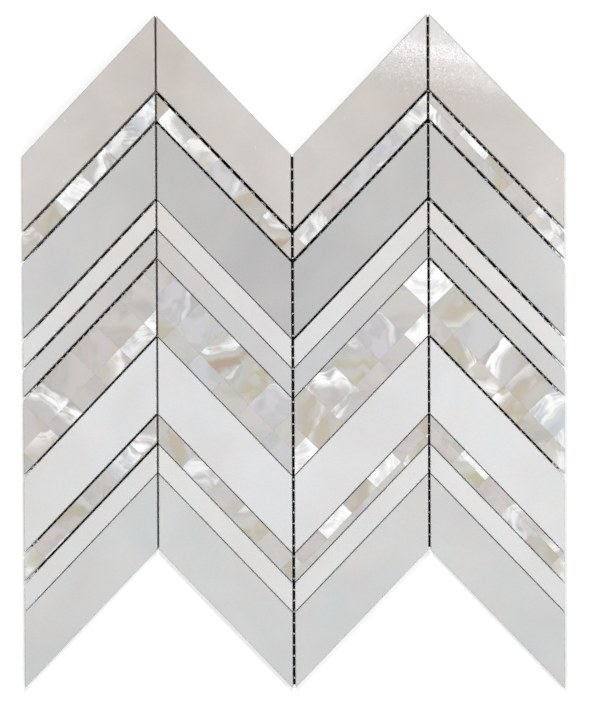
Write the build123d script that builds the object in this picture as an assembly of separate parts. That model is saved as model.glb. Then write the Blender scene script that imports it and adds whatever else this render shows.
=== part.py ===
"""Chevron mosaic sheet of marble and mother of pearl on a glass-fibre net.

Four columns of slanting strips mirror each other, so that the strips meet in a zigzag. Seven
of the ten rows are sawn marble. Three are pearl: squares of shell, laid edge to edge on a
backing slab and sawn into strips with it. A net of two crossed layers of thread is glued
under the pieces and holds the sheet together until it is laid in mortar.

Millimetres. The sheet lies face up: +X across the columns, +Y towards the peaks, +Z out of
the polished face. The origin is the middle of the sheet's box, on the underside of the net.
"""

import os
from math import ceil, cos, floor, radians, tan

from build123d import *

# Lattice: the middles of the joints. The pieces are set in a tray of this pattern.
COLUMN_PITCH = 61.0
CHEVRON_ANGLE = 46.17
WIDE_PITCH = 24.2
SLIM_PITCH = 9.18

# Openings of the joints, square across each joint.
OPEN_JOINT = 1.2
SET_JOINT = 0.9
TIGHT_JOINT = 0.3
COLUMN_JOINTS = (0.8, 1.2, 1.0)
SHEET_JOINT = 0.8

# Thicknesses and edges of the pieces.
STONE_THICKNESS = 8.0
SHELL_THICKNESS = 2.0
ARRIS = 0.3

# Squares of shell, measured from seam to seam, and the glue line between them.
SHELL_SQUARE = 15.95
SHELL_SEAM = 0.1

# Net under the pieces: pitch and section of its threads, and how far inside the edge it is cut.
NET_PITCH = 5.0
THREAD_WIDTH = 0.9
THREAD_THICKNESS = 0.25
NET_MARGIN = 1.5

# Rows from the peaks down: name, pitch.
ROWS = (
    ("warm_wide", WIDE_PITCH),
    ("pearl_upper", SLIM_PITCH),
    ("grey_wide_upper", WIDE_PITCH),
    ("white_slim_upper", SLIM_PITCH),
    ("grey_slim", SLIM_PITCH),
    ("pearl_wide", WIDE_PITCH),
    ("white_wide", WIDE_PITCH),
    ("pearl_lower", SLIM_PITCH),
    ("white_slim_lower", SLIM_PITCH),
    ("grey_wide_lower", WIDE_PITCH),
)
COLUMNS = 4

# Opening of the joint below each row but the last, for each column from the left.
ROW_JOINTS = (
    (OPEN_JOINT,) * 5 + (SET_JOINT,) * 3 + (TIGHT_JOINT,),
    (OPEN_JOINT, SET_JOINT) + (TIGHT_JOINT,) * 7,
    (OPEN_JOINT, OPEN_JOINT, SET_JOINT) + (TIGHT_JOINT,) * 6,
    (OPEN_JOINT,) * 3 + (SET_JOINT,) * 3 + (TIGHT_JOINT,) * 3,
)

# Where the shell grid falls in each pearl strip, for each column from the left: one seam's
# distance along the strip from its lower left end, and the lengthwise seam's height above
# the lower edge. A height of a whole square or more leaves the strip one square high.
SHELL_GRIDS = {
    "pearl_upper": ((15.7, SHELL_SQUARE), (0.3, SHELL_SQUARE), (9.5, SHELL_SQUARE), (14.5, 5.4)),
    "pearl_wide": ((8.5, 8.3), (3.0, 8.2), (0.9, 8.2), (7.7, 8.3)),
    "pearl_lower": ((15.4, 1.2), (15.4, SHELL_SQUARE), (9.4, 3.1), (13.5, 6.3)),
}

slope = tan(radians(CHEVRON_ANGLE))
upright = 1 / cos(radians(CHEVRON_ANGLE))
half_width = COLUMNS / 2 * COLUMN_PITCH
net_thickness = 2 * THREAD_THICKNESS
face_height = net_thickness + STONE_THICKNESS


def joint_height(line, x):
    """Height of the middle of a row joint at x. Line 0 runs over the first row."""
    depth = sum(pitch for _, pitch in ROWS[:line]) * upright
    return -depth - slope * abs(abs(x) - COLUMN_PITCH)


def side_opening(side):
    """Opening of an upright joint. Side 0 is the sheet's left edge, where the next sheet comes."""
    return SHEET_JOINT if side in (0, COLUMNS) else COLUMN_JOINTS[side - 1]


def row_opening(line, column):
    """Opening of the row joint on a lattice line. The outermost lines meet the next sheet."""
    return SHEET_JOINT if line in (0, len(ROWS)) else ROW_JOINTS[column][line - 1]


def strip_corners(row, column):
    """Corners of one piece, from the lower left round, half an opening inside its cell."""
    left = column * COLUMN_PITCH - half_width + side_opening(column) / 2
    right = (column + 1) * COLUMN_PITCH - half_width - side_opening(column + 1) / 2
    drop = row_opening(row, column) / 2 * upright
    lift = row_opening(row + 1, column) / 2 * upright
    return [
        (left, joint_height(row + 1, left) + lift),
        (right, joint_height(row + 1, right) + lift),
        (right, joint_height(row, right) - drop),
        (left, joint_height(row, left) - drop),
    ]


def prism(corners, base, height):
    """Upright prism on an outline."""
    outline = make_face(Polyline(*corners, close=True))
    return Pos(0, 0, base) * extrude(outline, amount=height, dir=(0, 0, 1))


def ease_face(piece):
    """Takes the sharp arris off the polished face."""
    face = piece.faces().sort_by(Axis.Z)[-1]
    return chamfer(face.edges(), ARRIS)


def marble_strip(row, column):
    """A sawn strip of marble with mitred ends."""
    return ease_face(prism(strip_corners(row, column), net_thickness, STONE_THICKNESS))


def backing_slab(row, column):
    """The slab that carries the shell of a pearl strip."""
    height = STONE_THICKNESS - SHELL_THICKNESS
    return prism(strip_corners(row, column), net_thickness, height)


def shell_squares(row, column):
    """The squares of shell in a pearl strip, cut by the strip's own outline."""
    base = face_height - SHELL_THICKNESS
    veneer = ease_face(prism(strip_corners(row, column), base, SHELL_THICKNESS))
    seam_along, seam_across = SHELL_GRIDS[ROWS[row][0]][column]
    left = column * COLUMN_PITCH - half_width
    turn = CHEVRON_ANGLE if column % 2 == 0 else -CHEVRON_ANGLE
    grid = Pos(left, joint_height(row + 1, left)) * Rot(0, 0, turn)
    strip_height = ROWS[row][1]
    overhang = strip_height * slope
    length = COLUMN_PITCH * upright
    first = floor((-overhang - seam_along) / SHELL_SQUARE)
    last = ceil((length + overhang - seam_along) / SHELL_SQUARE)
    lowest = floor(-seam_across / SHELL_SQUARE)
    highest = ceil((strip_height - seam_across) / SHELL_SQUARE)
    size = SHELL_SQUARE - SHELL_SEAM
    square = Box(size, size, SHELL_THICKNESS, align=(Align.CENTER, Align.CENTER, Align.MIN))
    pieces = []
    for step in range(first, last):
        for course in range(lowest, highest):
            along = seam_along + (step + 0.5) * SHELL_SQUARE
            across = seam_across + (course + 0.5) * SHELL_SQUARE
            pieces += (veneer & grid * Pos(along, across, base) * square).solids()
    return Compound(pieces)


def net_outline(layer_base):
    """The sheet's outline drawn in by the net's margin, one thread thick."""
    turns = [(side - COLUMNS / 2) * COLUMN_PITCH for side in range(COLUMNS + 1)]
    turns[0] += NET_MARGIN
    turns[-1] -= NET_MARGIN
    inset = NET_MARGIN * upright
    upper = [(x, joint_height(0, x) - inset) for x in turns]
    lower = [(x, joint_height(len(ROWS), x) + inset) for x in reversed(turns)]
    return prism(upper + lower, layer_base, THREAD_THICKNESS)


def net_threads(across, layer_base):
    """One layer of parallel threads, cut to the net's outline. Across runs them along X."""
    outline = net_outline(layer_base)
    box = outline.bounding_box()
    middle = box.center()
    span = box.size.Y if across else box.size.X
    reach = box.size.X if across else box.size.Y
    count = 2 * ceil(span / NET_PITCH / 2)
    size = (reach, THREAD_WIDTH) if across else (THREAD_WIDTH, reach)
    threads = []
    for number in range(count):
        step = (number - (count - 1) / 2) * NET_PITCH
        place = Pos(middle.X, middle.Y + step) if across else Pos(middle.X + step, middle.Y)
        thread = Pos(0, 0, layer_base + THREAD_THICKNESS / 2) * place * Box(*size, THREAD_THICKNESS)
        threads += (outline & thread).solids()
    return Compound(threads)


def build_nodes():
    """Every piece of the sheet by node name, with the lattice's first peak line at zero height."""
    nodes = {
        "net_lengthwise_threads": net_threads(False, 0),
        "net_crosswise_threads": net_threads(True, THREAD_THICKNESS),
    }
    for row, (name, _) in enumerate(ROWS):
        for column in range(COLUMNS):
            if name in SHELL_GRIDS:
                nodes[f"{name}_backing_{column + 1}"] = backing_slab(row, column)
                nodes[f"{name}_shell_{column + 1}"] = shell_squares(row, column)
            else:
                nodes[f"{name}_{column + 1}"] = marble_strip(row, column)
    return nodes


os.makedirs("parts", exist_ok=True)
sheet_nodes = build_nodes()
middle_of_sheet = Compound(list(sheet_nodes.values())).bounding_box().center()
to_origin = Pos(-middle_of_sheet.X, -middle_of_sheet.Y)
for node_name, shape in sheet_nodes.items():
    export_step(to_origin * shape, f"parts/{node_name}.step")
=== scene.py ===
"""Looks of the chevron mosaic sheet: marble strips, pearl strips of shell on slabs, and their net."""

import random
from collections import Counter
from math import ceil, cos, pi, radians, sin

import bpy
import numpy as np
from mathutils import Euler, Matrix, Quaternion, Vector


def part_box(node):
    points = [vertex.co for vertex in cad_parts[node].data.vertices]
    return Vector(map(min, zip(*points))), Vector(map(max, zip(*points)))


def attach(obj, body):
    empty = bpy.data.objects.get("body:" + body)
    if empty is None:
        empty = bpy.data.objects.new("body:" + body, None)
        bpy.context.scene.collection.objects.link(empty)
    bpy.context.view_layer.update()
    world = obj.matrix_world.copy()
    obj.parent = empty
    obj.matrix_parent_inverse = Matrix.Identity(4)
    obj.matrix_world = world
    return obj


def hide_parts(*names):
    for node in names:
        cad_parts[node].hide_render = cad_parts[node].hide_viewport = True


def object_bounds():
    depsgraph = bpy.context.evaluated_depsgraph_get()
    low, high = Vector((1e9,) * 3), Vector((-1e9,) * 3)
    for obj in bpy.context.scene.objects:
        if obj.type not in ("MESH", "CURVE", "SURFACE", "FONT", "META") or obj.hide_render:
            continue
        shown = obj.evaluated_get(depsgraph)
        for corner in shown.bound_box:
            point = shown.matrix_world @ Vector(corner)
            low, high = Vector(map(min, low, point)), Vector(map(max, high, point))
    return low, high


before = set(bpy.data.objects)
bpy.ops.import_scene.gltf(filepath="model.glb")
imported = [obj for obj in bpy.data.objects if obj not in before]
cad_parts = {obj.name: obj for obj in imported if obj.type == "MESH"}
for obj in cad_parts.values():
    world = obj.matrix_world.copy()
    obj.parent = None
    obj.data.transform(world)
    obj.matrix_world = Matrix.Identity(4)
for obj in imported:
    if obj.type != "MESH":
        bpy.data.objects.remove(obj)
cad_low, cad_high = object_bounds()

# The net is woven plain from glass-fibre yarn on a 5 mm mesh, and stiffened by a white resin coating.
# Lengthwise and crosswise yarns pass over and under each other by turns. The net is glued under the
# strips and holds the sheet together until it is laid in mortar.
MM = 0.001
POINT_GRID_MM = 0.001
YARN_HALF_WIDTH = 0.42 * MM
YARN_HALF_THICKNESS = 0.115 * MM
YARN_SIDES = 6
STEPS_PER_MESH = 4
THIN_COATING = (0.62, 0.62, 0.60, 1)
THICK_COATING = (0.88, 0.88, 0.86, 1)
FINE_RELIEF = 0.05 * MM


def loose_solids(node_name):
    """Corner points of each separate solid in a CAD node, as arrays of distinct points."""
    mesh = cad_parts[node_name].data
    points = np.array([vertex.co for vertex in mesh.vertices])
    steps = np.round(points / (POINT_GRID_MM * MM)).astype(int)
    keys, place = np.unique(steps, axis=0, return_inverse=True)
    place = place.ravel()
    root = list(range(len(keys)))

    def top_of(k):
        while root[k] != k:
            root[k] = root[root[k]]
            k = root[k]
        return k

    for edge in mesh.edges:
        root[top_of(place[edge.vertices[0]])] = top_of(place[edge.vertices[1]])
    groups = {}
    for k in range(len(keys)):
        groups.setdefault(top_of(k), []).append(keys[k] * POINT_GRID_MM * MM)
    return [np.array(group) for group in groups.values()]


def mesh_piece(name, points, faces):
    """A new mesh object in the sheet's frame."""
    mesh = bpy.data.meshes.new(name)
    mesh.from_pydata([tuple(point) for point in points], [], faces)
    mesh.update()
    piece = bpy.data.objects.new(name, mesh)
    bpy.context.scene.collection.objects.link(piece)
    return piece


def woven_yarns(name, node_name, along):
    """Every yarn of one direction as a flattened tube that rises and dips at each crossing."""
    low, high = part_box("net_lengthwise_threads")[0].z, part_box("net_crosswise_threads")[1].z
    middle, swing = (low + high) / 2, (high - low) / 4
    across = 1 - along
    threads = loose_solids(node_name)
    tracks = sorted({round(thread[:, across].mean() / MM, 2) for thread in threads})
    mesh_pitch = (tracks[-1] - tracks[0]) / (len(tracks) - 1) * MM
    other_node = "net_crosswise_threads" if along else "net_lengthwise_threads"
    crossing = min(thread[:, along].mean() for thread in loose_solids(other_node))
    points, faces = [], []
    for thread in threads:
        track = thread[:, across].mean()
        number = round((track - tracks[0] * MM) / mesh_pitch)
        ends = thread[:, along]
        start, stop = ends[ends < ends.mean()].mean(), ends[ends >= ends.mean()].mean()
        count = max(2, ceil((stop - start) / mesh_pitch * STEPS_PER_MESH))
        over = 1 if (number + along) % 2 else -1
        first = len(points)
        for step in range(count + 1):
            place = start + (stop - start) * step / count
            rise = middle + over * swing * cos(pi * (place - crossing) / mesh_pitch)
            for side in range(YARN_SIDES):
                angle = 2 * pi * side / YARN_SIDES
                point = [0.0, 0.0, rise + YARN_HALF_THICKNESS * sin(angle)]
                point[along] = place
                point[across] = track + YARN_HALF_WIDTH * cos(angle)
                points.append(point)
        for step in range(count):
            ring = first + step * YARN_SIDES
            for side in range(YARN_SIDES):
                beside = (side + 1) % YARN_SIDES
                quad = [ring + side, ring + beside, ring + YARN_SIDES + beside, ring + YARN_SIDES + side]
                faces.append(quad if across else quad[::-1])
        caps = [list(range(first, first + YARN_SIDES)), list(range(len(points) - YARN_SIDES, len(points)))]
        faces.append(caps[0][::-1] if across else caps[0])
        faces.append(caps[1] if across else caps[1][::-1])
    yarns = mesh_piece(name, points, faces)
    yarns.data.shade_smooth()
    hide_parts(node_name)
    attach(yarns, "root")
    return yarns


def new_material(name):
    """A new node material, its node tree and its Principled shader."""
    material = bpy.data.materials.new(name)
    material.use_nodes = True
    tree = material.node_tree
    return material, tree, tree.nodes["Principled BSDF"]


def add_node(tree, kind, sockets=None, **settings):
    """A node with its settings, and its inputs set by name or number, to values or to linked sockets."""
    node = tree.nodes.new(kind)
    for key, value in settings.items():
        setattr(node, key, value)
    for key, value in (sockets or {}).items():
        if isinstance(value, bpy.types.NodeSocket):
            tree.links.new(value, node.inputs[key])
        else:
            node.inputs[key].default_value = value
    return node


def mix_colours(tree, factor, first, other, blend="MIX"):
    """The colour out of a node that mixes two colours, or blends the second into the first."""
    sockets = {0: factor, 6: first, 7: other}
    return add_node(tree, "ShaderNodeMix", sockets, data_type="RGBA", blend_type=blend).outputs[2]


def fine_bump(tree, height, strength):
    """The normal of a surface with fine relief."""
    sockets = {"Height": height, "Strength": strength, "Distance": FINE_RELIEF}
    return add_node(tree, "ShaderNodeBump", sockets).outputs[0]


def coated_yarn():
    """White resin over bundles of glass filament, a little greyer where the coating is thin."""
    material, tree, shader = new_material("coated_yarn")
    place = add_node(tree, "ShaderNodeTexCoord").outputs["Object"]
    coating = add_node(tree, "ShaderNodeTexNoise", {"Vector": place, "Scale": 700.0, "Detail": 3.0})
    filaments = add_node(tree, "ShaderNodeTexNoise", {"Vector": place, "Scale": 4000.0, "Detail": 2.0})
    shade = mix_colours(tree, coating.outputs[0], THIN_COATING, THICK_COATING)
    tree.links.new(shade, shader.inputs["Base Color"])
    tree.links.new(fine_bump(tree, filaments.outputs[0], 0.5), shader.inputs["Normal"])
    shader.inputs["Roughness"].default_value = 0.42
    return material


yarn_finish = coated_yarn()
for piece_name, thread_node, direction in (
    ("net_lengthwise_yarns", "net_lengthwise_threads", 1),
    ("net_crosswise_yarns", "net_crosswise_threads", 0),
):
    woven_yarns(piece_name, thread_node, direction).data.materials.append(yarn_finish)

# The marble strips are sawn from slabs of three marbles, a warm one, a grey one and a white one, and mitred
# at their ends. Their faces are polished and their top edges eased by hand, so the edges are a little
# uneven, with nicks. Their sides and backs stay as the saw left them.
COLUMNS = 4
EASING = 0.34 * MM
EASING_LEVELS = (0.0, 0.5, 1.0)
EDGE_STEP = 0.8 * MM
# Painted shade on the eased edges: the colour is multiplied by this where they tilt away from the face.
EDGE_PAINTED_SHADE = 0.90
WEAR_STRETCHES = (0.7 * MM, 1.9 * MM, 5.3 * MM)
WEAR_DEPTH = 0.02 * MM
WEAR_LEVEL = 1.5
WEAR_DROP_SHARE = 0.7
NICK_SPACING = 9.0 * MM
NICK_HALF_LENGTH = 0.9 * MM
NICK_DEPTH = 0.35 * MM
NICK_RARITY = 3
BASE_TOLERANCE = 0.01 * MM
POLISHED_SLOPE = 0.3
STRIP_LIGHTNESS = (0.98, 1.02)
ROSY_DRIFT = (1.015, 0.99, 0.985, 1)
ICY_DRIFT = (0.985, 1.005, 1.01, 1)
NOISE_MIDDLE = (0.5, 0.5, 0.5)
SAW_LINE_SCALE = (60.0, 60.0, 3000.0)

# Each row's marble, and the tint of its stone at the sheet's side edges, at the peaks and in the middle.
# Where the tints darken the stone towards the peaks and lighten it at the side edges, that is painted shade
# and painted light; their hues are the stone's own drift of colour.
MARBLE_ROWS = {
    "warm_wide": ("warm", ("pale", "tan", "even")),
    "grey_wide_upper": ("grey", ("pale", "dusky", "dark")),
    "white_slim_upper": ("white", ("even", "sandy", "cool")),
    "grey_slim": ("grey", ("pale", "sandy", "cool")),
    "white_wide": ("white", ("even", "cool", "cool")),
    "white_slim_lower": ("white", ("even", "even", "even")),
    "grey_wide_lower": ("grey", ("light", "light", "light")),
}
STRIP_TINTS_AND_SHADES = {
    "even": (1.00, 1.00, 1.00),
    "pale": (1.05, 1.05, 1.05),
    "sandy": (0.96, 0.94, 0.92),
    "dusky": (0.86, 0.85, 0.84),
    "dark": (0.80, 0.80, 0.81),
    "tan": (0.90, 0.88, 0.86),
    "cool": (0.98, 0.98, 1.00),
    "light": (1.07, 1.08, 1.08),
}


def ring_of_corners(points):
    """Corners of a convex outline, counter-clockwise, from the points at its base."""
    base = points[:, 2].min()
    corners = [Vector(point[:2]) for point in points if point[2] < base + BASE_TOLERANCE]
    middle = sum(corners, Vector((0, 0))) / len(corners)
    return sorted(corners, key=lambda corner: np.arctan2(corner.y - middle.y, corner.x - middle.x))


def inset_corners(corners, insets):
    """The outline's corners moved in, by its own inset along each edge."""
    inner = []
    for k, corner in enumerate(corners):
        before, after = corner - corners[k - 1], corners[(k + 1) % len(corners)] - corner
        left = Vector((-before.y, before.x)).normalized()
        right = Vector((-after.y, after.x)).normalized()
        spread = left.x * right.y - left.y * right.x
        reach = (insets[k - 1], insets[k])
        x = (reach[0] * right.y - reach[1] * left.y) / spread
        y = (reach[1] * left.x - reach[0] * right.x) / spread
        inner.append(corner + Vector((x, y)))
    return inner


def eased_prism(corners, base, top, insets, wear):
    """Points and faces of an upright prism with eased top edges.

    wear(edge, place, length) is the extra loss at a place along an edge of that length.
    """
    inner = inset_corners(corners, insets)
    points = [(corner.x, corner.y, base) for corner in corners]
    faces = [list(range(len(corners)))[::-1]]
    rings = [[] for _ in EASING_LEVELS]
    starts = []
    for k, corner in enumerate(corners):
        following = (k + 1) % len(corners)
        edge = corners[following] - corner
        inward = Vector((-edge.y, edge.x)).normalized()
        count = max(2, ceil(edge.length / EDGE_STEP))
        starts.append(len(rings[0]))
        for step in range(count):
            share = step / count
            lost = wear(k, share * edge.length, edge.length)
            outer_point = corner.lerp(corners[following], share)
            inner_point = inner[k].lerp(inner[following], share) + inward * lost
            for ring, level in zip(rings, EASING_LEVELS):
                point = outer_point.lerp(inner_point, 1 - cos(level * pi / 2))
                drop = (insets[k] + WEAR_DROP_SHARE * lost) * (1 - sin(level * pi / 2))
                ring.append((point.x, point.y, top - drop))
    size = len(rings[0])
    offsets = []
    for ring in rings:
        offsets.append(len(points))
        points += ring
    starts.append(size)
    for k in range(len(corners)):
        wall = [offsets[0] + step % size for step in range(starts[k], starts[k + 1] + 1)]
        faces.append([k, (k + 1) % len(corners)] + wall[::-1])
    for lower, upper in zip(offsets, offsets[1:]):
        for step in range(size):
            beside = (step + 1) % size
            faces.append([lower + step, lower + beside, upper + beside, upper + step])
    faces.append([offsets[-1] + step for step in range(size)])
    return points, faces


def hand_wear(draw):
    """Wear along the edges of one strip: a slow unevenness and a few small nicks."""
    phases = [draw.uniform(0, 2 * pi) for _ in WEAR_STRETCHES]
    nicks = {}

    def wear(edge, place, length):
        if edge not in nicks:
            number = int(length / NICK_SPACING)
            nicks[edge] = [(draw.uniform(0, length), draw.random() ** NICK_RARITY) for _ in range(number)]
        slow = sum(sin(place / stretch + phase) for stretch, phase in zip(WEAR_STRETCHES, phases))
        lost = WEAR_DEPTH * (slow + WEAR_LEVEL)
        for middle, size in nicks[edge]:
            reach = NICK_HALF_LENGTH * (0.5 + size)
            if abs(place - middle) < reach:
                lost += NICK_DEPTH * size * (1 - abs(place - middle) / reach)
        return max(0.0, lost)

    return wear


def set_attribute(mesh, name, kind, values, domain="POINT"):
    """Writes a named attribute to a mesh. Colours and vectors are rows of numbers."""
    field = "color" if kind == "FLOAT_COLOR" else "vector"
    attribute = mesh.attributes.new(name, kind, domain)
    attribute.data.foreach_set(field, np.asarray(values, np.float32).ravel())


def stone_place(mesh, draw):
    """Where each point of a strip lay in the slab: the strip was cut out anywhere, at any turn."""
    turn = np.array(Euler([draw.uniform(0, 2 * pi) for _ in range(3)]).to_matrix())
    shift = [draw.uniform(-1, 1) for _ in range(3)]
    points = np.array([vertex.co for vertex in mesh.vertices])
    set_attribute(mesh, "stone_place", "FLOAT_VECTOR", points @ turn.T + shift)


def remapped(tree, value, low, high, out_low=0.0, out_high=1.0, smooth="LINEAR"):
    """The value out of a node that maps one range to another."""
    sockets = {0: value, 1: low, 2: high, 3: out_low, 4: out_high}
    return add_node(tree, "ShaderNodeMapRange", sockets, interpolation_type=smooth).outputs[0]


def stone_figure():
    """Shared figure of the marbles: clouds, drifts of hue, fine grain, rare specks and the crystals' lean."""
    group = bpy.data.node_groups.new("stone_figure", "ShaderNodeTree")
    group.interface.new_socket("Place", in_out="INPUT", socket_type="NodeSocketVector")
    group.interface.new_socket("Cloud Size", in_out="INPUT", socket_type="NodeSocketFloat")
    for output in ("Cloud", "Hue", "Grain", "Speck"):
        group.interface.new_socket(output, in_out="OUTPUT", socket_type="NodeSocketFloat")
    group.interface.new_socket("Lean", in_out="OUTPUT", socket_type="NodeSocketVector")
    entry = add_node(group, "NodeGroupInput")
    place = entry.outputs["Place"]
    scale = add_node(group, "ShaderNodeMath",
                     {0: 1.0, 1: entry.outputs["Cloud Size"]}, operation="DIVIDE").outputs[0]
    cloud = add_node(group, "ShaderNodeTexNoise",
                     {"Vector": place, "Scale": scale, "Detail": 4.0, "Roughness": 0.5, "Distortion": 0.8})
    hue = add_node(group, "ShaderNodeTexNoise", {"Vector": place, "Scale": 70.0, "Detail": 1.0})
    grain = add_node(group, "ShaderNodeTexNoise", {"Vector": place, "Scale": 1100.0, "Detail": 3.0})
    pits = add_node(group, "ShaderNodeTexVoronoi", {"Vector": place, "Scale": 320.0})
    rare = add_node(group, "ShaderNodeSeparateColor", {0: pits.outputs["Color"]})
    reach = remapped(group, rare.outputs[0], 0.70, 1.0, 0.0, 0.15)
    crystals = add_node(group, "ShaderNodeTexVoronoi", {"Vector": place, "Scale": 2000.0})
    tilt = add_node(group, "ShaderNodeVectorMath",
                    {0: crystals.outputs["Color"], 1: NOISE_MIDDLE}, operation="SUBTRACT")
    chance = add_node(group, "ShaderNodeSeparateColor", {0: crystals.outputs["Color"]})
    loose = remapped(group, chance.outputs[2], 0.60, 0.65)
    lean = add_node(group, "ShaderNodeVectorMath", {0: tilt.outputs[0], "Scale": loose}, operation="SCALE")
    figure = {
        "Cloud": remapped(group, cloud.outputs[0], 0.32, 0.68),
        "Hue": remapped(group, hue.outputs[0], 0.32, 0.68),
        "Grain": grain.outputs[0],
        "Speck": remapped(group, pits.outputs["Distance"], reach, 0.0),
        "Lean": lean.outputs[0],
    }
    leave = add_node(group, "NodeGroupOutput")
    for name, socket in figure.items():
        group.links.new(socket, leave.inputs[name])
    return group


marble_figure = stone_figure()


def eased_edge_painted_shade():
    """Shared painted shade on the eased edges: where they tilt away from the face, they are darker than it.
    """
    group = bpy.data.node_groups.new("eased_edge_painted_shade", "ShaderNodeTree")
    group.interface.new_socket("Edge Shade", in_out="INPUT", socket_type="NodeSocketFloat")
    group.interface.new_socket("Tone", in_out="OUTPUT", socket_type="NodeSocketFloat")
    entry = add_node(group, "NodeGroupInput")
    facing = add_node(group, "ShaderNodeTexCoord").outputs["Normal"]
    upward = add_node(group, "ShaderNodeSeparateXYZ", {0: facing}).outputs[2]
    tone = remapped(group, upward, 0.96, 0.99, entry.outputs["Edge Shade"], 1.0)
    leave = add_node(group, "NodeGroupOutput")
    group.links.new(tone, leave.inputs["Tone"])
    return group


edge_shade_group = eased_edge_painted_shade()


def edges_with_painted_shade(tree, colour):
    """A face's colour with painted shade on its eased edges."""
    edges = add_node(tree, "ShaderNodeGroup", node_tree=edge_shade_group)
    edges.inputs["Edge Shade"].default_value = EDGE_PAINTED_SHADE
    return mix_colours(tree, 1.0, colour, edges.outputs["Tone"], "MULTIPLY")


def figured_marble(tree, tones, cloud_size, fleck):
    """The stone's own colour in one material, with the strip's tint and its painted shade and light, and the
    figure's node.
    """
    place = add_node(tree, "ShaderNodeAttribute", attribute_name="stone_place").outputs["Vector"]
    figure = add_node(tree, "ShaderNodeGroup", node_tree=marble_figure)
    tree.links.new(place, figure.inputs["Place"])
    figure.inputs["Cloud Size"].default_value = cloud_size
    tint_and_shade = add_node(tree, "ShaderNodeAttribute", attribute_name="stone_tint_and_shade").outputs["Color"]
    hue = mix_colours(tree, figure.outputs["Hue"], ROSY_DRIFT, ICY_DRIFT)
    grain = remapped(tree, figure.outputs["Grain"], 0.3, 0.7, 0.98, 1.02)
    # A fleck tone above 1 lightens the specks into painted glints.
    speck = remapped(tree, figure.outputs["Speck"], 0.0, 1.0, 1.0, fleck)
    colour = mix_colours(tree, figure.outputs["Cloud"], *tones)
    for layer in (hue, grain, speck, tint_and_shade):
        colour = mix_colours(tree, 1.0, colour, layer, "MULTIPLY")
    return colour, figure


def polished_marble(name, tones, cloud_size, fleck, roughness, glitter):
    """The polished face. Each crystal is polished at its own slight tilt, and glitters in mirrored light."""
    material, tree, shader = new_material(name)
    colour, figure = figured_marble(tree, tones, cloud_size, fleck)
    polish = remapped(tree, figure.outputs["Grain"], 0.3, 0.7, roughness, 1.5 * roughness)
    lean = add_node(tree, "ShaderNodeVectorMath",
                    {0: figure.outputs["Lean"], "Scale": glitter}, operation="SCALE")
    level = add_node(tree, "ShaderNodeNewGeometry").outputs["Normal"]
    tilted = add_node(tree, "ShaderNodeVectorMath", {0: level, 1: lean.outputs[0]}, operation="ADD")
    facet = add_node(tree, "ShaderNodeVectorMath", {0: tilted.outputs[0]}, operation="NORMALIZE")
    tree.links.new(edges_with_painted_shade(tree, colour), shader.inputs["Base Color"])
    tree.links.new(polish, shader.inputs["Roughness"])
    tree.links.new(facet.outputs[0], shader.inputs["Normal"])
    return material


def sawn_marble(name, tones, cloud_size, fleck):
    """The sides and back, matt and unpolished, with the fine level lines of the saw."""
    material, tree, shader = new_material(name)
    colour, _ = figured_marble(tree, tones, cloud_size, fleck)
    level = add_node(tree, "ShaderNodeTexCoord").outputs["Object"]
    squeeze = add_node(tree, "ShaderNodeMapping", {0: level, 3: SAW_LINE_SCALE})
    lines = add_node(tree, "ShaderNodeTexNoise", {"Vector": squeeze.outputs[0], "Scale": 1.0, "Detail": 2.0})
    tree.links.new(colour, shader.inputs["Base Color"])
    tree.links.new(fine_bump(tree, lines.outputs[0], 0.6), shader.inputs["Normal"])
    shader.inputs["Roughness"].default_value = 0.7
    return material


# Darker and lighter tone, cloud size and fleck tone of each marble, then its polish's roughness and glitter.
# A fleck tone above 1, as in the warm marble, makes the specks painted glints of its crystals.
MARBLES = {
    "warm": ((((0.545, 0.520, 0.495, 1), (0.605, 0.575, 0.550, 1)), 0.035, 1.60), (0.035, 0.022)),
    "grey": ((((0.530, 0.530, 0.530, 1), (0.590, 0.585, 0.575, 1)), 0.045, 0.96), (0.10, 0.008)),
    "white": ((((0.665, 0.660, 0.650, 1), (0.715, 0.715, 0.710, 1)), 0.045, 0.96), (0.10, 0.008)),
}
marble_finishes = {}
for marble, (slab, polish) in MARBLES.items():
    marble_finishes[marble] = (
        polished_marble(f"polished_{marble}_marble", *slab, *polish),
        sawn_marble(f"sawn_{marble}_marble", *slab),
    )

for row, (marble, (edge_word, peak_word, middle_word)) in MARBLE_ROWS.items():
    turn_words = (edge_word, peak_word, middle_word, peak_word, edge_word)
    turn_tints_and_shades = [np.array(STRIP_TINTS_AND_SHADES[word]) for word in turn_words]
    for column in range(1, COLUMNS + 1):
        node_name = f"{row}_{column}"
        draw = random.Random(node_name)
        low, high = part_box(node_name)
        corners = ring_of_corners(loose_solids(node_name)[0])
        points, faces = eased_prism(corners, low.z, high.z, [EASING] * len(corners), hand_wear(draw))
        strip = mesh_piece(f"{row}_strip_{column}", points, faces)
        stone_place(strip.data, draw)
        lightness = draw.uniform(*STRIP_LIGHTNESS)
        # The tint, with its painted shade and light, runs from the strip's left end to its right end.
        left_tint_and_shade, right_tint_and_shade = (tint_and_shade * lightness for tint_and_shade in turn_tints_and_shades[column - 1:column + 1])
        shares = [(x - low.x) / (high.x - low.x) for x, _, _ in points]
        tints_and_shades = [(*(left_tint_and_shade + (right_tint_and_shade - left_tint_and_shade) * share), 1.0) for share in shares]
        set_attribute(strip.data, "stone_tint_and_shade", "FLOAT_COLOR", tints_and_shades)
        for finish in marble_finishes[marble]:
            strip.data.materials.append(finish)
        for face in strip.data.polygons:
            face.material_index = 0 if face.normal.z > POLISHED_SLOPE else 1
        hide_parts(node_name)
        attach(strip, "root")

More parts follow.
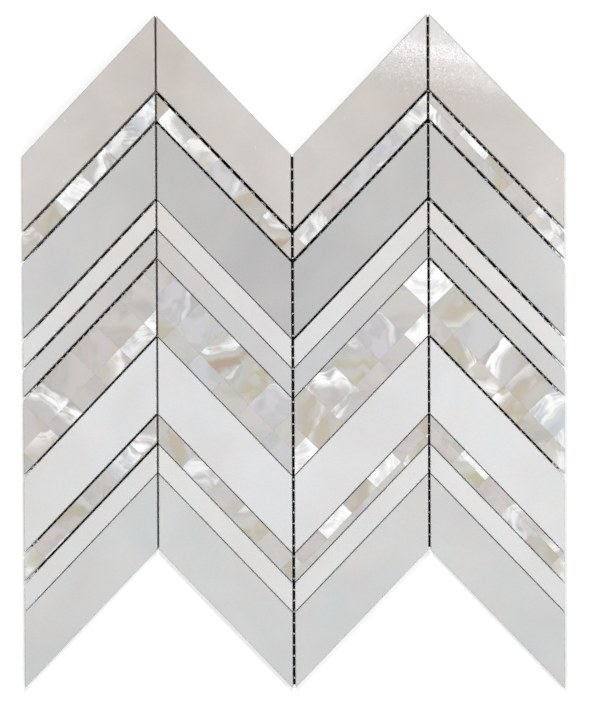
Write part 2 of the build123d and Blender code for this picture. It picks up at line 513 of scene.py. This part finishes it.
# The pearl strips stand on slabs of unglazed ceramic with the strip's outline, which lift the thin shell to
# the level of the marble. They were sawn together with the shell.
PEARL_ROWS = ("pearl_upper", "pearl_wide", "pearl_lower")
DARK_CLAY = (0.60, 0.57, 0.52, 1)
PALE_CLAY = (0.76, 0.74, 0.70, 1)


def unglazed_ceramic():
    """Pale fired clay with fine dark and light specks."""
    material, tree, shader = new_material("unglazed_ceramic")
    place = add_node(tree, "ShaderNodeTexCoord").outputs["Object"]
    body = add_node(tree, "ShaderNodeTexNoise",
                    {"Vector": place, "Scale": 180.0, "Detail": 6.0, "Roughness": 0.7}).outputs[0]
    specks = add_node(tree, "ShaderNodeTexNoise",
                      {"Vector": place, "Scale": 2200.0, "Detail": 1.0}).outputs[0]
    mottle = mix_colours(tree, body, DARK_CLAY, PALE_CLAY)
    flecks = remapped(tree, specks, 0.3, 0.7, 0.9, 1.06)
    tree.links.new(mix_colours(tree, 1.0, mottle, flecks, "MULTIPLY"), shader.inputs["Base Color"])
    tree.links.new(fine_bump(tree, specks, 0.5), shader.inputs["Normal"])
    shader.inputs["Roughness"].default_value = 0.8
    return material


slab_finish = unglazed_ceramic()
for row in PEARL_ROWS:
    for column in range(1, COLUMNS + 1):
        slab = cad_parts[f"{row}_backing_{column}"]
        slab.data.materials.clear()
        slab.data.materials.append(slab_finish)

# The shell is mother of pearl: squares cut from river shell, glued edge to edge on the slab, sawn with it to
# the strip's outline and polished. Each square is from another shell, so its growth bands, colour and silver
# flare differ from its neighbours' and stop at its edges. The flare is painted sheen: the light the nacre
# flashes back, laid into its colour.
SHELL_SQUARE = 15.95 * MM
SEAM_EASING = 0.02 * MM
SEAM_CLOSING = 0.042 * MM
COURSE_STEP = 0.4 * MM
MOST_STRAY_CORNERS = 4
OUTLINE_TOLERANCE = 0.02 * MM
BEARING_SPREAD = (-25, 25)
HINGE_REACH = (0.6, 1.8)
FIGURE_SEEDS = (0, 50)
SHELL_LIGHTNESS = (0.97, 1.03)
SHELL_RELIEF = 0.3 * MM
# Colour of the painted sheen: the silver light the nacre flashes back, painted into its colour.
PAINTED_SHEEN_SILVER = (0.93, 0.93, 0.925, 1)

# Kinds of square: body colour, second colour, where the second colour's band lies from the square's middle
# and its half width, where the silver flare lies and its half width (in squares), and the flare's strength.
# The flare is a painted sheen.
SHELL_KINDS = {
    "plain": ((0.490, 0.480, 0.450), (0.530, 0.515, 0.485), (0.35, 0.30), (0.00, 0.00), 0.00),
    "rosy": ((0.500, 0.472, 0.440), (0.535, 0.512, 0.495), (0.20, 0.16), (0.00, 0.00), 0.00),
    "tan": ((0.490, 0.475, 0.435), (0.455, 0.415, 0.335), (0.10, 0.12), (0.47, 0.03), 0.30),
    "olive": ((0.510, 0.505, 0.480), (0.450, 0.425, 0.300), (0.28, 0.15), (-0.42, 0.04), 0.45),
    "umber": ((0.500, 0.490, 0.455), (0.385, 0.300, 0.225), (0.34, 0.08), (-0.14, 0.07), 0.80),
    "lilac": ((0.480, 0.475, 0.482), (0.540, 0.535, 0.552), (-0.05, 0.18), (0.44, 0.02), 0.55),
    "sky": ((0.490, 0.495, 0.492), (0.530, 0.537, 0.540), (0.20, 0.26), (0.00, 0.00), 0.00),
    "cream": ((0.535, 0.510, 0.460), (0.600, 0.575, 0.525), (0.10, 0.16), (0.28, 0.10), 0.70),
    "silver": ((0.500, 0.503, 0.495), (0.560, 0.560, 0.553), (-0.20, 0.20), (0.20, 0.26), 0.70),
    "frost": ((0.520, 0.550, 0.562), (0.600, 0.620, 0.630), (0.00, 0.20), (0.28, 0.24), 0.95),
    "flame": ((0.490, 0.472, 0.450), (0.505, 0.493, 0.485), (-0.10, 0.20), (0.28, 0.14), 1.00),
    "blaze": ((0.500, 0.468, 0.400), (0.460, 0.420, 0.325), (-0.20, 0.12), (0.40, 0.08), 1.00),
    "white": ((0.680, 0.680, 0.670), (0.740, 0.740, 0.735), (-0.30, 0.20), (0.12, 0.62), 0.95),
}

# The squares of each strip along its length, in one course or in two with the upper one first. A compass
# point says towards which side of the square its bands lie, with the top of the sheet as north.
SHELL_LAYOUT = {
    "pearl_upper": (
        ("cream-n tan-e white-n flame-e silver-n frost-ne cream-e",),
        ("tan-w flame-w cream-n lilac-e tan-n umber-s rosy-e",),
        ("plain-w silver-e rosy-n sky-e lilac-s silver-ne cream-n",),
        ("plain-n rosy-e white-e tan-w plain-s silver-e tan-e",
         "white-n flame-w plain-n olive-e rosy-n cream-s white-e"),
    ),
    "pearl_wide": (
        ("rosy-w flame-ne plain-e rosy-e rosy-n plain-n plain-e",
         "olive-w cream-n flame-ne plain-s cream-e silver-n white-n"),
        ("rosy-w lilac-e sky-w umber-s olive-se lilac-n plain-e",
         "tan-s plain-n sky-w plain-s plain-n sky-e plain-s"),
        ("plain-w tan-e flame-n olive-s lilac-ne plain-n white-n",
         "white-n tan-w flame-nw rosy-ne plain-n white-e"),
        ("white-s tan-s sky-e flame-nw tan-nw frost-nw silver-e",
         "rosy-w blaze-e cream-s blaze-n tan-s cream-e"),
    ),
    "pearl_lower": (
        ("cream-w rosy-n tan-n plain-e frost-ne flame-s plain-e",
         "plain-n white-n plain-n plain-e plain-n plain-e"),
        ("plain-w tan-e silver-n plain-n olive-s plain-n tan-e",),
        ("cream-w rosy-n white-n tan-e white-e rosy-s tan-e",
         "plain-w plain-n plain-s rosy-e plain-n blaze-w white-e"),
        ("plain-w rosy-n white-n plain-e cream-n cream-s cream-e",
         "plain-w rosy-n olive-s rosy-e silver-w tan-n cream-e"),
    ),
}
BEARINGS = {"e": 0, "ne": 45, "n": 90, "nw": 135, "w": 180, "sw": 225, "s": 270, "se": 315}


def strip_axes(corners):
    """The lower left corner of a strip, and the directions along it and across it."""
    leftmost = sorted(corners, key=lambda corner: corner.x)
    start = min(leftmost[:2], key=lambda corner: corner.y)
    far = min(leftmost[2:], key=lambda corner: corner.y)
    along = (far - start).normalized()
    return start, along, Vector((-along.y, along.x))


def squares_in_order(node_name, start, along, across):
    """The outlines of a strip's squares, the upper course first, each course from the left."""
    outlines = [ring_of_corners(solid) for solid in loose_solids(node_name)]
    heights = [[(corner - start).dot(across) for corner in outline] for outline in outlines]
    steps = Counter(round(height / COURSE_STEP) for outline in heights for height in outline)
    edges = (0, max(steps))
    # More corners at one height than a few stray ones make a seam along the strip.
    seam_step, corners_on_seam = max(steps.items(), key=lambda item: (item[0] not in edges, item[1]))
    seam = seam_step * COURSE_STEP if corners_on_seam > MOST_STRAY_CORNERS else 0.0
    upper = [sum(outline) / len(outline) > seam for outline in heights]
    places = [sum((corner - start).dot(along) for corner in outline) / len(outline) for outline in outlines]
    order = sorted(range(len(outlines)), key=lambda k: (not upper[k], places[k]))
    return [outlines[k] for k in order], sum(upper)


def edge_easings(outline, strip_corners):
    """The eased width of each edge: a strip's own edge is eased like marble, a seam hardly at all."""
    easings = []
    for k, corner in enumerate(outline):
        middle = (corner + outline[(k + 1) % len(outline)]) / 2
        on_outline = False
        for j, strip_corner in enumerate(strip_corners):
            edge = (strip_corners[(j + 1) % len(strip_corners)] - strip_corner).normalized()
            gap = (middle - strip_corner).x * edge.y - (middle - strip_corner).y * edge.x
            on_outline = on_outline or abs(gap) < OUTLINE_TOLERANCE
        easings.append(EASING if on_outline else SEAM_EASING)
    return easings


def shell_strip(row, column):
    """All the squares of one pearl strip as one mesh, with each square's own figure written to its points."""
    node_name = f"{row}_shell_{column}"
    draw = random.Random(node_name)
    low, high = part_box(node_name)
    strip_corners = ring_of_corners(loose_solids(f"{row}_backing_{column}")[0])
    start, along, across = strip_axes(strip_corners)
    outlines, upper = squares_in_order(node_name, start, along, across)
    courses = [course.split() for course in SHELL_LAYOUT[row][column - 1]]
    if len(courses[0]) != upper:
        raise ValueError(f"{node_name} has {upper} squares in its upper course, not {len(courses[0])}")
    words = sum(courses, [])
    if len(words) != len(outlines):
        raise ValueError(f"{node_name} has {len(outlines)} squares and {len(words)} words")
    points, faces, flow, body, second, bands = [], [], [], [], [], []
    for outline, word in zip(outlines, words):
        easings = edge_easings(outline, strip_corners)
        closed = inset_corners(outline, [0.0 if easing == EASING else -SEAM_CLOSING for easing in easings])
        square_points, square_faces = eased_prism(closed, low.z, high.z, easings, lambda *place: 0.0)
        faces += [[len(points) + k for k in face] for face in square_faces]
        points += square_points
        kind, side = word.split("-")
        body_colour, second_colour, second_band, sheen_band, sheen_strength = SHELL_KINDS[kind]
        middle = sum(outline, Vector((0, 0))) / len(outline)
        bearing = radians(BEARINGS[side] + draw.uniform(*BEARING_SPREAD))
        reach = SHELL_SQUARE * draw.uniform(*HINGE_REACH)
        hinge = middle - Vector((cos(bearing), sin(bearing))) * reach
        seed = draw.uniform(*FIGURE_SEEDS)
        lightness = draw.uniform(*SHELL_LIGHTNESS)
        for x, y, _ in square_points:
            flow.append(((x - hinge.x) / SHELL_SQUARE, (y - hinge.y) / SHELL_SQUARE, seed))
        body += [(*(tone * lightness for tone in body_colour), reach / SHELL_SQUARE)] * len(square_points)
        # The second colour also carries the strength of the square's painted sheen.
        second += [(*(tone * lightness for tone in second_colour), sheen_strength)] * len(square_points)
        bands += [(*second_band, *sheen_band)] * len(square_points)
    strip = mesh_piece(f"{row}_shell_squares_{column}", points, faces)
    set_attribute(strip.data, "shell_flow", "FLOAT_VECTOR", flow)
    set_attribute(strip.data, "shell_body", "FLOAT_COLOR", body)
    set_attribute(strip.data, "shell_second", "FLOAT_COLOR", second)
    set_attribute(strip.data, "shell_bands", "FLOAT_COLOR", bands)
    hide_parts(node_name)
    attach(strip, "root")
    return strip


def nacre():
    """Growth bands about each square's hinge, warped like layers of shell, with a silver flare of painted
    sheen along them.
    """
    material, tree, shader = new_material("polished_nacre")
    flow = add_node(tree, "ShaderNodeAttribute", attribute_name="shell_flow").outputs["Vector"]
    body = add_node(tree, "ShaderNodeAttribute", attribute_name="shell_body")
    second = add_node(tree, "ShaderNodeAttribute", attribute_name="shell_second")
    bands = add_node(tree, "ShaderNodeAttribute", attribute_name="shell_bands")
    band_places = add_node(tree, "ShaderNodeSeparateColor", {0: bands.outputs["Color"]}).outputs

    def math(operation, first, other=0.0):
        return add_node(tree, "ShaderNodeMath", {0: first, 1: other}, operation=operation).outputs[0]

    def remap(value, low, high, out_low=0.0, out_high=1.0, smooth="LINEAR"):
        return remapped(tree, value, low, high, out_low, out_high, smooth)

    def noise(vector, scale, detail):
        texture = add_node(tree, "ShaderNodeTexNoise", {"Vector": vector, "Scale": scale, "Detail": detail})
        return remap(texture.outputs[0], 0.30, 0.70)

    def mixed(factor, first, other, blend="MIX"):
        return mix_colours(tree, factor, first, other, blend)

    waver = add_node(tree, "ShaderNodeTexNoise", {"Vector": flow, "Scale": 1.6, "Detail": 1.5})
    lean = add_node(tree, "ShaderNodeVectorMath",
                    {0: waver.outputs["Color"], 1: NOISE_MIDDLE}, operation="SUBTRACT")
    push = add_node(tree, "ShaderNodeVectorMath", {0: lean.outputs[0], "Scale": 0.5}, operation="SCALE")
    warped = add_node(tree, "ShaderNodeVectorMath", {0: flow, 1: push.outputs[0]}, operation="ADD").outputs[0]
    parts = add_node(tree, "ShaderNodeSeparateXYZ", {0: warped}).outputs
    seed = add_node(tree, "ShaderNodeSeparateXYZ", {0: flow}).outputs[2]
    flat = add_node(tree, "ShaderNodeCombineXYZ", {0: parts[0], 1: parts[1]}).outputs[0]
    radius = add_node(tree, "ShaderNodeVectorMath", {0: flat}, operation="LENGTH").outputs["Value"]
    sweep = math("ARCTAN2", parts[1], parts[0])
    out = math("SUBTRACT", radius, body.outputs["Alpha"])

    def along_bands(radial, sweeping):
        vector = {0: math("MULTIPLY", radius, radial), 1: math("MULTIPLY", sweep, sweeping), 2: seed}
        return add_node(tree, "ShaderNodeCombineXYZ", vector).outputs[0]

    def band(middle, half_width, inner_fade, outer_fade):
        place = math("SUBTRACT", out, middle)
        rising = remap(math("ADD", place, half_width), -inner_fade, 0.04, 0.0, 1.0, "SMOOTHSTEP")
        falling = remap(math("SUBTRACT", place, half_width), outer_fade, -0.02, 0.0, 1.0, "SMOOTHSTEP")
        return math("MULTIPLY", rising, falling)

    layers = noise(along_bands(4.0, 1.2), 1.0, 1.5)
    streaks = noise(along_bands(14.0, 2.0), 1.0, 2.0)
    lines = noise(along_bands(30.0, 2.5), 1.0, 2.0)
    patches = noise(warped, 2.2, 1.0)
    # Broad lighter and darker patches across each square: painted shading of the shell's sheen.
    sheen_drift = noise(flow, 0.9, 0.5)
    second_band = band(band_places[0], band_places[1], 0.24, 0.16)
    second_mask = math("MULTIPLY", second_band, remap(patches, 0.1, 0.55, 0.0, 1.0, "SMOOTHSTEP"))
    # The silver flare is a painted sheen: near-white laid into the colour along a band.
    sheen_band = band(band_places[2], bands.outputs["Alpha"], 0.22, 0.05)
    sheen_weight = second.outputs["Alpha"]
    broken = math("ADD", math("MULTIPLY", streaks, 0.4), math("MULTIPLY", patches, 0.6))
    sheen_mask = math("MULTIPLY", math("MULTIPLY", sheen_band, remap(broken, 0.22, 0.60)), sheen_weight)
    # Painted shade in a thin band just beyond the flare's outer edge.
    sheen_end = math("ADD", band_places[2], bands.outputs["Alpha"])
    shade_band = band(math("ADD", sheen_end, 0.06), 0.02, 0.03, 0.14)
    painted_shade_beside_sheen = math("MULTIPLY", shade_band, sheen_weight)
    layered = mixed(1.0, body.outputs["Color"], remap(layers, 0.0, 1.0, 0.95, 1.04), "MULTIPLY")
    sheen_drifted = mixed(1.0, layered, remap(sheen_drift, 0.0, 1.0, 0.93, 1.06), "MULTIPLY")
    streaked = mixed(1.0, sheen_drifted, remap(streaks, 0.0, 1.0, 0.97, 1.03), "MULTIPLY")
    shaded = mixed(1.0, streaked, remap(painted_shade_beside_sheen, 0.0, 1.0, 1.0, 0.86), "MULTIPLY")
    banded = mixed(second_mask, shaded, second.outputs["Color"])
    play = add_node(tree, "ShaderNodeValToRGB", {0: noise(along_bands(3.0, 0.8), 1.0, 1.0)})
    play.color_ramp.elements[0].color = (0.98, 1.01, 0.98, 1)
    play.color_ramp.elements[1].color = (1.01, 1.0, 0.96, 1)
    play.color_ramp.elements.new(0.35).color = (1.02, 0.98, 0.985, 1)
    play.color_ramp.elements.new(0.65).color = (0.975, 0.985, 1.02, 1)
    tinted = mixed(1.0, banded, play.outputs[0], "MULTIPLY")
    silver = mixed(1.0, PAINTED_SHEEN_SILVER, remap(lines, 0.15, 0.7, 0.90, 1.0), "MULTIPLY")
    sheened = mixed(sheen_mask, tinted, silver)
    relief = math("ADD", layers, math("MULTIPLY", lines, 0.06))
    bump = add_node(tree, "ShaderNodeBump", {"Height": relief, "Strength": 0.2, "Distance": SHELL_RELIEF})
    tree.links.new(edges_with_painted_shade(tree, sheened), shader.inputs["Base Color"])
    tree.links.new(bump.outputs[0], shader.inputs["Normal"])
    shader.inputs["Roughness"].default_value = 0.3
    shader.inputs["Coat Weight"].default_value = 0.6
    shader.inputs["Coat Roughness"].default_value = 0.06
    return material


nacre_finish = nacre()
for row in PEARL_ROWS:
    for column in range(1, COLUMNS + 1):
        shell_strip(row, column).data.materials.append(nacre_finish)

# The stage is a white floor that keeps the sheet's shadow, with black paper under the sheet, cut inside its
# outline, so that the open joints look dark. Soft lights stand above, in front and at the right. Three more
# beyond the peaks are mirrored in the polish there. The camera looks down from above.
FLOOR_HALF = 2.0
FLOOR_DEPTH = 0.3 * MM
FLOOR_WHITE = (0.6, 0.6, 0.6, 1)
FLOOR_LIFT = 0.5
PAPER_DEPTH = 0.1 * MM
PAPER_INSET = 0.5 * MM
PAPER_SIDE_INSET = 5.0 * MM
DEEP_BLACK = (0.006, 0.006, 0.006, 1)
FADED_BLACK = (0.014, 0.014, 0.014, 1)


def background_rays(tree):
    """1 for rays that show the background to the camera, in polish or through glass, and 0 for its light."""
    rays = add_node(tree, "ShaderNodeLightPath").outputs
    seen = add_node(tree, "ShaderNodeMath",
                    {0: rays["Is Camera Ray"], 1: rays["Is Glossy Ray"]}, operation="MAXIMUM")
    shown = add_node(tree, "ShaderNodeMath",
                     {0: seen.outputs[0], 1: rays["Is Transmission Ray"]}, operation="MAXIMUM")
    return shown.outputs[0]


def white_floor():
    """Diffuse white, lifted for what the camera sees so that it reads as white, and darker in the shadow."""
    material, tree, shader = new_material("white_floor")
    lift = add_node(tree, "ShaderNodeMath", {0: background_rays(tree), 1: FLOOR_LIFT}, operation="MULTIPLY")
    shader.inputs["Base Color"].default_value = FLOOR_WHITE
    shader.inputs["Roughness"].default_value = 1.0
    shader.inputs["Specular IOR Level"].default_value = 0.0
    shader.inputs["Emission Color"].default_value = (1, 1, 1, 1)
    tree.links.new(lift.outputs[0], shader.inputs["Emission Strength"])
    return material


def black_paper():
    """Matt black paper with a faint tooth."""
    material, tree, shader = new_material("black_paper")
    place = add_node(tree, "ShaderNodeTexCoord").outputs["Object"]
    tooth = add_node(tree, "ShaderNodeTexNoise", {"Vector": place, "Scale": 3000.0})
    shade = mix_colours(tree, tooth.outputs[0], DEEP_BLACK, FADED_BLACK)
    tree.links.new(shade, shader.inputs["Base Color"])
    shader.inputs["Roughness"].default_value = 0.9
    shader.inputs["Specular IOR Level"].default_value = 0.1
    return material


floor_corners = [
    (x * FLOOR_HALF, y * FLOOR_HALF, -FLOOR_DEPTH)
    for x, y in ((-1, -1), (1, -1), (1, 1), (-1, 1))
]
floor = mesh_piece("floor", floor_corners, [[0, 1, 2, 3]])
floor.data.materials.append(white_floor())

# The paper follows the zigzag, and stops short of the sheet's left and right edges.
upper_edge, lower_edge = [], []
for column in range(1, COLUMNS + 1):
    top_strip = ring_of_corners(loose_solids(f"warm_wide_{column}")[0])
    foot_strip = ring_of_corners(loose_solids(f"grey_wide_lower_{column}")[0])
    top_ring = sorted(top_strip, key=lambda corner: corner.x)
    foot_ring = sorted(foot_strip, key=lambda corner: corner.x)
    for pair in (slice(0, 2), slice(2, 4)):
        upper_edge.append(max(top_ring[pair], key=lambda corner: corner.y) - Vector((0, PAPER_INSET)))
        lower_edge.append(min(foot_ring[pair], key=lambda corner: corner.y) + Vector((0, PAPER_INSET)))
for edge in (upper_edge, lower_edge):
    for outer, neighbour in ((0, 1), (-1, -2)):
        share = PAPER_SIDE_INSET / abs(edge[neighbour].x - edge[outer].x)
        edge[outer] = edge[outer].lerp(edge[neighbour], share)
paper_outline = [(corner.x, corner.y, -PAPER_DEPTH) for corner in upper_edge + lower_edge[::-1]]
paper = mesh_piece("paper", paper_outline, [list(range(len(paper_outline)))[::-1]])
paper.data.materials.append(black_paper())

# The far lights are a cool daylight. Each stands at its own height, because a light level with another hides
# it in the polish.
DAYLIGHT = (0.86, 0.91, 1.0)
WORLD_LIGHT = 0.25


def soft_light(name, place, aim, size, power, turn=0.0, colour=(1, 1, 1)):
    """An oblong soft light that faces a point, turned about its own axis."""
    lamp = bpy.data.lights.new(name, "AREA")
    lamp.shape = "RECTANGLE"
    lamp.size, lamp.size_y = size
    lamp.energy = power
    lamp.color = colour
    holder = bpy.data.objects.new(name, lamp)
    bpy.context.scene.collection.objects.link(holder)
    holder.location = place
    facing = (Vector(aim) - Vector(place)).to_track_quat("-Z", "Y")
    holder.rotation_euler = (facing @ Quaternion((0, 0, 1), turn)).to_euler()
    return holder


above = soft_light(
    "above_softbox", place=(0.003, 0.126, 0.6), aim=(0.003, 0.126, 0), size=(0.04, 0.04), power=1.65,
)
above.visible_glossy = False
soft_light("front_softbox", place=(0, -0.6, 0.9), aim=(0, 0, 0), size=(0.4, 0.4), power=3.2)
soft_light("right_softbox", place=(0.85, -0.05, 1.1), aim=(0, 0, 0), size=(0.7, 0.7), power=4.0)
soft_light(
    "far_softbox", place=(0.132, 0.261, 0.815), aim=(0.132, 0.261, 0), size=(0.18, 0.15), power=0.32,
    turn=radians(-9), colour=DAYLIGHT,
)
soft_light(
    "far_panel", place=(0.100, 0.262, 0.81), aim=(0.100, 0.262, 0), size=(0.18, 0.08), power=0.05,
    turn=radians(-13), colour=DAYLIGHT,
)
soft_light(
    "far_tube", place=(0.088, 0.2145, 0.805), aim=(0.088, 0.2145, 0), size=(0.16, 0.011), power=0.042,
    turn=radians(-9), colour=DAYLIGHT,
)

world = bpy.data.worlds.new("studio")
bpy.context.scene.world = world
world.use_nodes = True
sky = world.node_tree
sky_level = remapped(sky, background_rays(sky), 0.0, 1.0, WORLD_LIGHT, 1.0)
sky.nodes["Background"].inputs[0].default_value = (1, 1, 1, 1)
sky.links.new(sky_level, sky.nodes["Background"].inputs[1])
bpy.context.scene.view_settings.view_transform = "Standard"

# Place and turn of the camera, worked out from the joints' places in the photograph's 600 by 715 frame. The
# place is in column pitches from the face's middle, level with the peaks.
IMAGE_HEIGHT = 715
FOCAL_PIXELS = 2500.0
CAMERA_TILT = (radians(1.141), radians(-2.0), radians(0.204))
COLUMN_PITCH = 61.0 * MM
LATTICE_PEAK = 152.27 * MM
CAMERA_PLACE = (0.695, -2.167, 18.366)

camera = bpy.data.objects.new("camera", bpy.data.cameras.new("camera"))
bpy.context.scene.collection.objects.link(camera)
camera.data.sensor_width = 36.0
camera.data.lens = FOCAL_PIXELS / IMAGE_HEIGHT * camera.data.sensor_width
camera.data.clip_start = 0.01
camera.location = (
    CAMERA_PLACE[0] * COLUMN_PITCH,
    CAMERA_PLACE[1] * COLUMN_PITCH + LATTICE_PEAK,
    CAMERA_PLACE[2] * COLUMN_PITCH + cad_high.z,
)
camera.rotation_mode = "ZYX"
camera.rotation_euler = [-turn for turn in CAMERA_TILT]
bpy.context.scene.camera = camera
